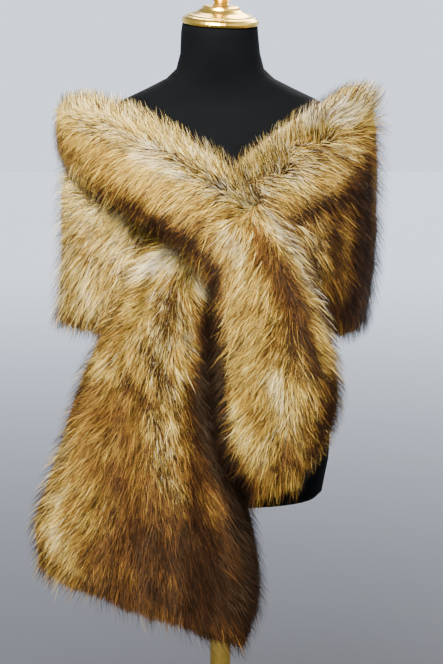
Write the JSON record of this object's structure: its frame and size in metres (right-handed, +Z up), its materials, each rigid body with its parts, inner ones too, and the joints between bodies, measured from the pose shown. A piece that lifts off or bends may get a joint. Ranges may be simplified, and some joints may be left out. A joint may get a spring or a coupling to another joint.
{
  "type": "fur collar wrap on dress form",
  "caption": "Thick fur stole worn round the shoulders, crossed and pulled through at the front, on a limbless dress form with a round floor stand.",
  "frame": {"origin": "centre of the stand base's flat underside, on the floor", "axes": "+Z up, -Y the way the wearer faces, +X the wearer's left"},
  "size_m": [0.5141, 0.4212, 1.4686],
  "materials": {
    "fur": "long-pile faux fur, golden brown with cream and dark brown, matt with soft sheen",
    "black_jersey": "black knitted jersey, matt",
    "brass": "polished gold-coloured plating"
  },
  "bodies": {
    "root": {"fur_back": "fur", "fur_left_cape": "fur", "fur_front_panel": "fur", "fur_right_roll": "fur", "fur_front_lobe": "fur", "fur_right_arm": "fur", "form_torso": "black_jersey", "neck_cap": "brass", "cap_knob": "brass", "stand_collar": "brass", "stand_pole": "brass", "stand_base": "brass"}
  },
  "joints": []
}
